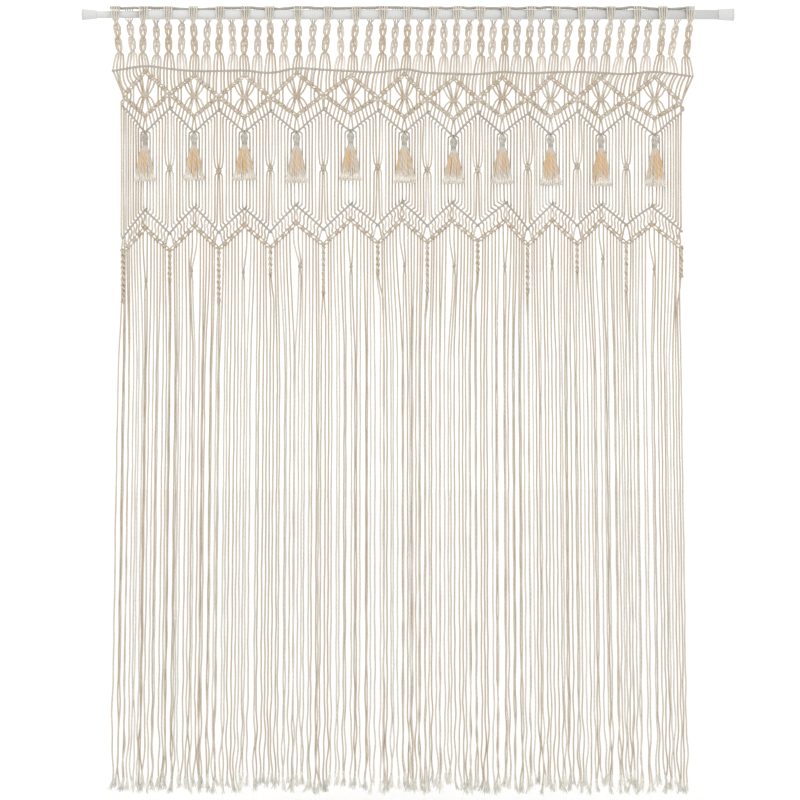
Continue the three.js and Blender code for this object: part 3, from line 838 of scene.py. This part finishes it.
class CURTAIN_OT_carriers(bpy.types.Operator):
    """Run the cords that cross the curtain: straight, chevron, zigzag, and the knotted diamonds"""

    bl_idname = "curtain.carriers"
    bl_label = "Carriers and knotted bands"

    def execute(self, context):
        sizes, finish, radius = chosen(context)
        carrier = sizes.carrier / MM / 2
        rng = np.random.default_rng(CARRIER_SEED)
        plain, knotted = Strands(), Strands()
        xs, zs = LINES["bar"]
        bar = np.stack([xs, np.full(len(xs), CARRIER_OUT), zs], axis=1)
        plain.add(smooth(bar, 7), carrier, sides=THICK_SIDES)
        for line in ("chevron", "cord"):
            single_zigzag(plain, line, carrier, rng)
        for line, band in (("upper", DIAMOND_BAND), ("lower", DIAMOND_BAND), ("knotted", ZIGZAG_BAND)):
            knotted_zigzag(knotted, line, band, BAND_THICK * radius, rng)
        plain.piece("carrier_cords", *PANEL, finish, "carrier_cotton")
        knotted.piece("knotted_bands", *PANEL, finish, "hanging_cotton")
        return {"FINISHED"}


# Net and gathering knots
def gathering_knot(strands, x, z, shape, radius, rng):
    tilt = (rng.uniform(-0.12, 0.12), rng.uniform(-0.1, 0.1), -1.0)
    path = wrap((x, 0.3, z), tilt, *shape, 3.3, rng.uniform(0, TAU), 14)
    strands.add(path, radius, rng.uniform(0.2, 0.6), sides=THICK_SIDES)


def bend_in(start, stop, rng):
    """From a level carrier to a sloping one: a cord bound for the left leans at once, for the right late."""
    sway = rng.uniform(-0.4, 0.4)
    early, half, late = (0.4, 0.82, 1.0) if stop[0] < start[0] else (0.0, 0.25, 0.72)
    return between(
        start, stop, (early, sway - 0.9, -0.8, 0.26), (half, sway - 0.5, 0.2, 0.62), (late, 0.0, -0.2, 0.85))


def bow(start, stop, lean=0.0):
    """Square off one sloping carrier, straight down, and square on to the next."""
    return between(start, stop, (0.3, lean, -1.0, 0.22), (0.5, 0.0, -0.4, 0.5), (0.7, -lean, -1.0, 0.78))


def through_diamond(at, upper, lower):
    """Six cords gather in the middle knot and part again; the rest hang straight across the diamond."""
    if at.number not in STAR_OFFSETS:
        return [(at.upper + at.side * SIDE_BOWS.get(at.number, 0.0), 0.5, (upper + lower) / 2)]
    axis, knot = at.repeat.x, at.repeat.knot
    offset, rise = STAR_OFFSETS[at.number], STAR_RISE[at.number]
    y = 1.2 if at.number % 2 == 0 else -0.9
    near, inside = axis + at.side * (offset + 0.9), axis + at.side * 0.8 * offset
    part_way = near + (at.upper - near) * 0.5
    high, low = (0.36, 0.3) if at.number == 3 else (0.5, 0.5)
    return [
        (part_way, y, knot + rise + (upper - knot - rise) * high),
        (near, y, knot + rise), (inside, y, knot), (near, y, knot - rise),
        (part_way, y, knot - rise + (lower - knot + rise) * low)]


def long_fall(at, start, stop, rng):
    """From the chevron to the single zigzag, through a square knot where four cords meet."""
    x = at.fall
    top = [(start[0] + 0.6 * (x - start[0]), -1.5, start[2] - 3.5), (x, -0.3, start[2] - 12)]
    foot = [(x, -0.3, stop[2] + 14), (x + 0.3 * (stop[0] - x), -1.0, stop[2] + 6)]
    if at.number not in (WORKING_CORD, CORE_CORD) or at.gap.square_knot is None:
        middle = (x + rng.uniform(-0.9, 0.9), 0.4 + rng.uniform(-1, 1), (start[2] + stop[2]) / 2)
        return [*top, middle, *foot]
    way = SQUARE_CORE
    if at.number == WORKING_CORD:
        reach = SQUARE_FRONT if at.side > 0 else SQUARE_BACK
        crossing = [
            (across * SQUARE_WIDE, SQUARE_OUT + out * reach, up * SQUARE_TALL)
            for across, out, up in SQUARE_CROSSING]
        way = (*SQUARE_BEFORE, *crossing, *SQUARE_AFTER)
    knot = [(at.gap.x - at.side * across, out, at.gap.square_knot + up) for across, out, up in way]
    return [*top, *knot, *foot]


def net_paths(at, rng):
    """One hanging cord from the straight carrier to the knotted zigzag, parted where it is a carrier."""
    on = lambda line, lift=0.0: (getattr(at, line), DEPTHS[line], height(line, getattr(at, line)) + lift)
    bar, upper, lower, knotted = on("bar"), on("upper"), on("lower"), on("knotted", KNOT_LIFT)
    top = (at.top, 0.8, height("upper", at.top) + 2.0)
    above = [bar, *bend_in(bar, top, rng), top]
    zigzag = on("cord")
    if at.number == CORDS_PER_HALF - 1:
        peak = (at.gap.x, DEPTHS["chevron"], at.gap.peak)
        point = (at.repeat.x + at.side * 2.0, DEPTHS["chevron"], at.repeat.point)
        valley = (at.gap.x - at.side * 2.5, DEPTHS["cord"], at.gap.cord_valley)
        return [
            above, [lower, *bow(lower, peak), peak], [point, *long_fall(at, point, zigzag, rng), zigzag],
            [valley, *bow(valley, knotted), knotted]]
    chevron = on("chevron")
    lean = at.side * rng.uniform(1.2, 2.4)
    fall = long_fall(at, chevron, zigzag, rng)
    down = [chevron, *fall, zigzag, *bow(zigzag, knotted, -lean), knotted]
    if at.number >= CORDS_PER_HALF:
        return [[bar, upper, (at.upper + at.side * 4.5, 0.5, 0.5 * upper[2] + 0.5 * chevron[2]), *down]]
    below = [lower, *bow(lower, chevron, -0.6 * lean), *down]
    if at.number == 0:
        return [[bar, (at.upper, 0.4, upper[2])], below]
    return [above, [upper, *through_diamond(at, upper[2], lower[2]), *below]]


class CURTAIN_OT_net(bpy.types.Operator):
    """Hang the cords between the carriers, with the knots that gather them"""

    bl_idname = "curtain.net"
    bl_label = "Net and gathering knots"

    def execute(self, context):
        _, finish, radius = chosen(context)
        rng = np.random.default_rng(NET_SEED)
        cords, knots = Strands(), Strands()
        for column in COLUMNS:
            tone = rng.uniform(-0.15, 0.95)
            for path in net_paths(column, rng):
                line = smooth(path, 14)
                shaded = tone - 0.25 * by_height(line, (-300, -240), (0.0, 1.0))
                cords.add(line, by_height(line, *NET_THICK) * radius, shaded)
        for repeat in REPEATS:
            gathering_knot(knots, repeat.x, repeat.knot, STAR_WRAP, radius, rng)
        for gap in GAPS:
            if gap.square_knot is not None:
                gathering_knot(knots, gap.x, gap.square_knot, SQUARE_WRAP, radius, rng)
        cords.piece("net_cords", *PANEL, finish, "hanging_cotton")
        knots.piece("gathering_knots", *PANEL, finish, "hanging_cotton")
        return {"FINISHED"}


# Fringe
def fringe_places(rng):
    """Where the cords hang below the knots and at the hem, from left to right: unevenly, some crowded."""
    lines = np.sort([column.line for column in COLUMNS])
    hem = np.interp(lines, lines[[0, -1]], (HEM.left, HEM.right))
    stray = rng.uniform(-4.0, 4.0, CORDS) + np.interp(hem, *FRINGE_DRIFT)
    return lines + 0.85 * stray, hem + stray


def fringe_root(at):
    """Where a cord hangs free, and how far below that it takes to fall into line with its neighbours."""
    side, pair_x, pair_z = at.side, at.repeat.pair_x, at.repeat.pair_z
    if at.number == 0:
        x, z = at.gap.x, at.gap.twist_end
        return [
            (x - side * 1.2, 3.0, at.gap.knotted_valley - 3), (x - side * 1.4, 2.8, z + 12),
            (x - side * 1.9, 1.0, z - 8)], 60.0
    x, z = at.knotted, height("knotted", at.knotted) - KNOT_LIFT
    points = [(x, DEPTHS["knotted"], z), (x, 0.5, z - 12)]
    if at.number > 1:
        return points, 300.0
    return points + [
        (0.88 * x + 0.12 * pair_x, 0.4, 0.55 * z + 0.45 * pair_z),
        (pair_x + side * 2.4, 0.2, pair_z + 12), (pair_x + side * 1.2, 0.0, pair_z),
        (pair_x + side * 2.6, 0.2, pair_z - 22)], 200.0


def fringe_path(at, line_x, hem_x, sway, rng):
    """One free cord: it falls into line, drifts to its place at the hem and wanders more towards it."""
    points, settle = fringe_root(at)
    start = np.array(points[-1])
    hem_z = HEM.z + rng.uniform(-1, 1) * HEM.uneven
    depth = rng.uniform(-2.2, 2.2)
    phases, lengths = rng.uniform(0, TAU, 3), rng.uniform((300, 130, 75), (520, 210, 110))
    free = []
    for share in np.concatenate([np.linspace(0, 0.86, 44)[1:], np.linspace(0.86, 1, 18)[1:]]):
        z = start[2] + (hem_z - start[2]) * share
        fallen = min(1.0, (start[2] - z) / settle)
        in_line = fallen * fallen * (3 - 2 * fallen)
        down = max(0.0, (FRINGE_TOP - z) / (FRINGE_TOP - hem_z))
        grow = sway * (0.14 + 0.86 * share ** 8)
        waves = sum(amount * math.sin(TAU * z / length + phase)
                    for amount, length, phase in zip((0.32, 0.4, 0.3), lengths, phases))
        x = line_x + (hem_x - line_x) * down
        x = start[0] + (x - start[0]) * in_line + waves * grow * in_line
        y = start[1] + (depth - start[1]) * in_line + 0.6 * grow * math.sin(TAU * z / 170 + phases[0])
        free.append((x, y, z))
    return np.vstack([smooth(points, 9), free])


def comb_cord(strands, path, radius, length, tone, rng):
    """The combed end of one cord: fine strands that fan out of it."""
    end = path[-1]
    run = direction(end - path[-3])
    lean = rng.uniform(-0.12, 0.12)
    for _ in range(14):
        spread = rng.normal(0, 0.12) + lean
        depth = rng.normal(0, 0.07)
        beside = np.array([rng.uniform(-0.7, 0.7), rng.uniform(-0.7, 0.7), 0]) * radius
        root = end - run * length * 0.85 + beside
        tip_length = length * rng.uniform(0.85, 1.15)
        curl = rng.uniform(-0.06, 0.06)
        points = []
        for share in np.linspace(0, 1, 6):
            reach = tip_length * share
            swing = spread * reach * share + curl * length * math.sin(math.pi * share)
            points.append(root + run * reach + np.array([swing, depth * reach * share, 0]))
        strands.add(points, np.linspace(1.0, 0.42, 6), tone, sides=FIBRE_SIDES)


def hanging_twist(strands, gap, radius, rng):
    """A hanging twist: four cords in two pairs turning round each other, tied at its top and its end."""
    reach = 3.7 if gap is GAPS[0] else 2.7
    top, end = gap.knotted_valley + 4, gap.twist_end
    z = np.linspace(top, end, int((top - end) / 2.2))
    turn = TAU * (top - z) / 26 + 0.4 * np.sin(z / 8) + rng.uniform(0, TAU)
    swell = reach * np.interp(z, (end, end + 8, top - 8, top), (0.6, 1.0, 1.0, 1.4))
    swell = swell * (1 + 0.3 * np.sin(TAU * z / 13.7 + rng.uniform(0, TAU)))
    core = np.stack([gap.x + 0.6 * np.sin(z / 7), 0.3 * np.cos(z / 9), z], axis=1)
    strands.add(core, radius, -0.3, sides=THICK_SIDES)
    for start in (0.0, 0.65, math.pi, math.pi + 0.65):
        path = np.stack([gap.x + swell * np.cos(turn + start), swell * np.sin(turn + start), z], axis=1)
        strands.add(path, 1.08 * radius, rng.uniform(-0.2, 0.9), sides=THICK_SIDES)
    for share in (0.02, 0.98):
        centre = (gap.x, 0, top + (end - top) * share)
        tie = wrap(centre, (0.2, 0, -1), 1.3 * reach, 3.2, 1.6, 3.0, rng.uniform(0, TAU))
        strands.add(tie, 0.9 * radius, rng.uniform(-0.5, 0.3))


class CURTAIN_OT_fringe(bpy.types.Operator):
    """Hang the free cords with their twists, pair knots and combed ends"""

    bl_idname = "curtain.fringe"
    bl_label = "Fringe"

    def execute(self, context):
        sizes, finish, radius = chosen(context)
        fray = sizes.fray / MM
        rng = np.random.default_rng(FRINGE_SEED)
        cords, twists, frayed = Strands(), Strands(), Strands()
        lines, hem = fringe_places(rng)
        for column, order in zip(COLUMNS, HEM_ORDER):
            tone = rng.uniform(0.0, 1.0)
            path = fringe_path(column, lines[order], hem[order], sizes.sway / MM, rng)
            cut = path[-1, 2] + 0.55 * fray
            end = [np.interp(cut, path[::-1, 2], path[::-1, axis]) for axis in (0, 1)]
            line = np.vstack([path[path[:, 2] > cut + 1], [*end, cut]])
            # Painted shade: the cords are darker towards the top of the fringe
            toned = tone + by_height(line, FRINGE_SHADE, (0.0, -0.35))
            cords.add(line, by_height(line, FRINGE_SHADE, (1.06, 1.14)) * radius, toned)
            comb_cord(frayed, path, radius, fray, tone, rng)
        for gap in GAPS:
            hanging_twist(twists, gap, radius, rng)
        for repeat in REPEATS:
            tilt = (rng.uniform(-0.3, 0.3), 0, -1)
            centre = (repeat.pair_x, 0.0, repeat.pair_z)
            pair_knot = wrap(centre, tilt, 2.7, 2.7, 1.8, 2.8, rng.uniform(0, TAU), 11)
            twists.add(pair_knot, radius, 0.8, 1, THICK_SIDES)
        cords.piece("fringe_cords", *FRINGE, finish, "hanging_cotton")
        twists.piece("hanging_twists", *FRINGE, finish, "hanging_cotton", "carrier_cotton")
        frayed.piece("combed_ends", *FRINGE, finish, "combed_cotton")
        return {"FINISHED"}


# Tassels
def comb_strand(strands, line, end, count, rng):
    """The fibres that a strand is combed out into at its end."""
    tone = rng.uniform(0.3, 0.7)
    tip = line[-1]
    run = direction(tip - line[-3])
    for _ in range(count):
        back = rng.uniform(3, 19)
        reach = (tip[2] - end) * rng.uniform(0.45, 1.12) + back
        fan = np.array([rng.normal(0, 0.1), rng.normal(0, 0.03), 0])
        root = tip - run * back + np.array([rng.uniform(-1.2, 1.2), rng.uniform(-0.6, 0.6), 0])
        points = [
            root + run * reach * share + fan * reach * share ** 1.6 for share in np.linspace(0, 1, 5)]
        # Painted light: each fibre is painted paler towards its tip, to lift the shade where the fibres thin
        # out
        strands.add(points, np.linspace(1.0, 0.4, 5), np.linspace(tone, 1.0, 5), 1, FIBRE_SIDES)


def tassel_skirt(strands, repeat, sizes, rng):
    """Strands folded over at the head, drawn in at the neck and let fall, each combed out at its end."""
    length = repeat.point - repeat.tassel_end
    spread = 0.92 * sizes.tassel_spread / MM
    outer, inner = sizes.tassel_strands, sizes.tassel_strands // 2
    phase = rng.uniform(0, TAU)
    for index in range(outer + inner):
        ring, around, fibres = (1.0, outer, 10) if index < outer else (0.6, inner, 6)
        angle = TAU * (index + rng.uniform(-0.25, 0.25)) / around
        sideways, forward = math.cos(angle), math.sin(angle)
        path = [
            (repeat.x + ring * r * sideways, TASSEL_OUT + 0.85 * ring * r * forward, repeat.point + z)
            for z, r in TASSEL_HEAD]
        lock = 1 + 0.06 * math.sin(5 * angle + rng.uniform(-0.4, 0.4)) + rng.uniform(-0.12, 0.05)
        foot = length * rng.uniform(0.87, 0.95)
        for share in (0.2, 0.55, 1.0):
            wide = (4.8 + (spread - 4.8) * share ** 0.7) * ring * lock
            deep = 4.6 + 2.2 * share
            path.append((
                repeat.x + wide * sideways + rng.uniform(-0.6, 0.6), TASSEL_OUT + ring * deep * forward,
                repeat.point - TASSEL_NECK + (TASSEL_NECK - foot) * share))
        line = smooth(path, 9)
        below = line[:, 2] - repeat.point
        thick = np.interp(below, (-foot, 14 - foot, -34, -24, 0), (1.1, 2.0, 1.7, 1.5, 1.5))
        gold = 0.34 + 0.4 * sideways ** 2 + 0.3 * math.sin(13 * angle + phase) + rng.uniform(-0.7, 0.7)
        tone = np.interp(below, (-foot, -74, -46, -32), (gold + 0.8, gold, gold, 1.1))
        neck = int(np.argmax(below < -28)) + 1
        strands.add(line[:neck], thick[:neck], rng.uniform(0.1, 0.8), 2)
        strands.add(line[neck - 1:], thick[neck - 1:], tone[neck - 1:])
        comb_strand(strands, line, repeat.tassel_end, fibres, rng)


def tassel_binding(strands, repeat, rng):
    """The cord that ties the neck, and the loop that hangs the tassel on the chevron's point."""
    centre = (repeat.x, TASSEL_OUT, repeat.point - 26)
    neck = wrap(centre, (0, 0, -1), 4.0, 3.8, 3.4, 2.2, rng.uniform(0, TAU), 12)
    strands.add(neck, 1.2, 0.4, 2)
    for side in (-1, 1):
        loop = [(repeat.x + side * across, out, repeat.point + up) for across, out, up in TASSEL_LOOP]
        strands.add(smooth(loop, 3), 1.3, 0.4, 2)


class CURTAIN_OT_tassels(bpy.types.Operator):
    """Tie a tassel under each point of the chevron"""

    bl_idname = "curtain.tassels"
    bl_label = "Tassels"

    def execute(self, context):
        sizes, finish, _ = chosen(context)
        for number, repeat in enumerate(REPEATS, 1):
            rng = np.random.default_rng(TASSEL_SEED + number)
            strands = Strands()
            tassel_skirt(strands, repeat, sizes, rng)
            tassel_binding(strands, repeat, rng)
            strands.piece(
                f"tied_tassel_{number:02d}", f"tassel_{number:02d}", "tassel_cotton", finish,
                "tassel_strands", "combed_tassel_ends", "looped_cotton")
        return {"FINISHED"}


# Stage
FLOOR_HALF, FLOOR_Z = 30.0, -1.85
SKY_STRENGTH = 1.1
LAMPS = (
    ("key", (-2.6, -3.6, 2.2), (0, 0, -0.5), 2.2, 22.0),
    ("fill", (3.2, -3.0, 0.4), (0, 0, -0.9), 2.6, 8.0),
)
CAMERA_AWAY, PICTURE_WIDTH = 8.0, 1.8256
PICTURE_X, PICTURE_Z = -0.0183, -0.8795


def set_floor():
    mesh = bpy.data.meshes.new("floor")
    corners = [(x * FLOOR_HALF, y * FLOOR_HALF, FLOOR_Z) for x, y in ((-1, -1), (1, -1), (1, 1), (-1, 1))]
    mesh.from_pydata(corners, [], [(0, 1, 2, 3)])
    material, tree, shader = new_material("pale_floor", 0.9)
    feed(tree, shader, {"Base Color": (0.93, 0.93, 0.93, 1.0), "Specular IOR Level": 0.1})
    mesh.materials.append(material)
    place_object("floor", mesh)


def set_light(scene):
    world = bpy.data.worlds.new("studio")
    world.use_nodes = True
    sky = world.node_tree.nodes["Background"]
    feed(world.node_tree, sky, {"Color": (1.0, 1.0, 1.0, 1.0), "Strength": SKY_STRENGTH})
    scene.world = world
    scene.view_settings.view_transform = "Standard"
    for name, place, aim, size, power in LAMPS:
        lamp = bpy.data.lights.new(name, "AREA")
        lamp.energy = power
        lamp.size = size
        turn = (Vector(aim) - Vector(place)).to_track_quat("-Z", "Y").to_euler()
        place_object(name, lamp, place, turn)


def set_camera(scene):
    """Square on, with the picture's width measured at the curtain."""
    lens = bpy.data.cameras.new("camera")
    lens.sensor_width = 36.0
    lens.lens = lens.sensor_width * CAMERA_AWAY / PICTURE_WIDTH
    scene.camera = place_object("camera", lens, (PICTURE_X, -CAMERA_AWAY, PICTURE_Z), (math.pi / 2, 0, 0))


class CURTAIN_OT_stage(bpy.types.Operator):
    """Set the floor, the light and the camera"""

    bl_idname = "curtain.stage"
    bl_label = "Stage"

    def execute(self, context):
        set_floor()
        set_light(context.scene)
        set_camera(context.scene)
        return {"FINISHED"}


OPERATORS = (
    CURTAIN_OT_rod,
    CURTAIN_OT_heading,
    CURTAIN_OT_carriers,
    CURTAIN_OT_net,
    CURTAIN_OT_fringe,
    CURTAIN_OT_tassels,
    CURTAIN_OT_stage,
)


class CURTAIN_PT_sidebar(bpy.types.Panel):
    """The curtain's sizes, colours and steps"""

    bl_idname = "CURTAIN_PT_sidebar"
    bl_label = "Macrame curtain"
    bl_space_type = "VIEW_3D"
    bl_region_type = "UI"
    bl_category = "Curtain"

    def draw(self, context):
        layout = self.layout
        for group in (context.scene.curtain_sizes, context.scene.curtain_finish):
            for name in group.__annotations__:
                layout.prop(group, name)
        for operator in OPERATORS:
            layout.operator(operator.bl_idname)


CLASSES = (CurtainSizes, CurtainFinish, *OPERATORS, CURTAIN_PT_sidebar)


def register():
    for item in CLASSES:
        bpy.utils.register_class(item)
    bpy.types.Scene.curtain_sizes = PointerProperty(type=CurtainSizes)
    bpy.types.Scene.curtain_finish = PointerProperty(type=CurtainFinish)


def unregister():
    del bpy.types.Scene.curtain_finish
    del bpy.types.Scene.curtain_sizes
    for item in reversed(CLASSES):
        bpy.utils.unregister_class(item)


def main():
    register()
    bpy.ops.curtain.rod()
    bpy.ops.curtain.heading()
    bpy.ops.curtain.carriers()
    bpy.ops.curtain.net()
    bpy.ops.curtain.fringe()
    bpy.ops.curtain.tassels()
    bpy.ops.curtain.stage()


if __name__ == "__main__":
    main()
